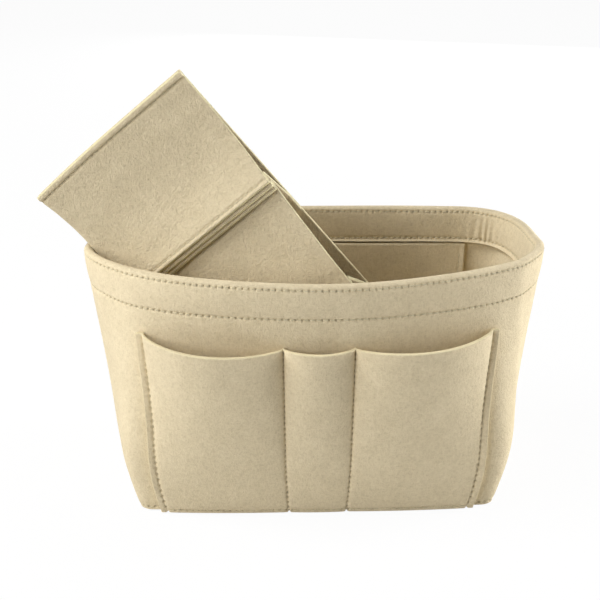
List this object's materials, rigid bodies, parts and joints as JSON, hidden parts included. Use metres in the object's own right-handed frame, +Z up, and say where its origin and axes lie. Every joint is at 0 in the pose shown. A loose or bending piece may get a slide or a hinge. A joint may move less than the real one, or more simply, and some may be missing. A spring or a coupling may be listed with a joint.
{
  "type": "purse organizer insert",
  "caption": "Tapered felt purse organizer basket with a sewn hem, open outer pockets, an inner slip pocket and a loose celled felt divider leaning in it.",
  "frame": {"origin": "middle of the base's underside, on the surface that the basket stands on", "axes": "+Z up, +X to the right along the basket's length seen from the front, +Y towards the back wall"},
  "size_m": [0.3028, 0.1568, 0.2538],
  "materials": {
    "felt": "matte beige pressed felt with a short nap",
    "thread": "polyester sewing thread in the felt's colour"
  },
  "bodies": {
    "basket": {"base_panel": "felt", "front_wall": "felt", "back_wall": "felt", "front_pocket_panel": "felt", "inner_pocket_panel": "felt", "rim_stitch_outer": "thread", "rim_stitch_inner": "thread", "hem_stitch_outer": "thread", "hem_stitch_inner": "thread", "base_stitch": "thread", "pocket_base_stitch": "thread", "pocket_side_stitch_left": "thread", "pocket_side_stitch_right": "thread", "pocket_middle_stitch_left": "thread", "pocket_middle_stitch_right": "thread", "inner_pocket_stitch_left": "thread", "inner_pocket_stitch_right": "thread", "side_seam_stitch_left": "thread", "side_seam_stitch_right": "thread"},
    "divider": {"divider_back_sheet": "felt", "divider_front_panel_1": "felt", "divider_front_panel_2": "felt", "divider_front_panel_3": "felt", "divider_strip_1": "felt", "divider_strip_2": "felt", "divider_ridge_stitch_1": "thread", "divider_ridge_stitch_2": "thread", "divider_foot_stitch_1": "thread", "divider_foot_stitch_2": "thread", "divider_end_stitch_1": "thread", "divider_end_stitch_2": "thread"}
  },
  "joints": [
    {"name": "divider_lift", "type": "slide", "parent": "basket", "child": "divider", "axis": [0, 0, 1], "range_m": [0, 0.16]}
  ]
}
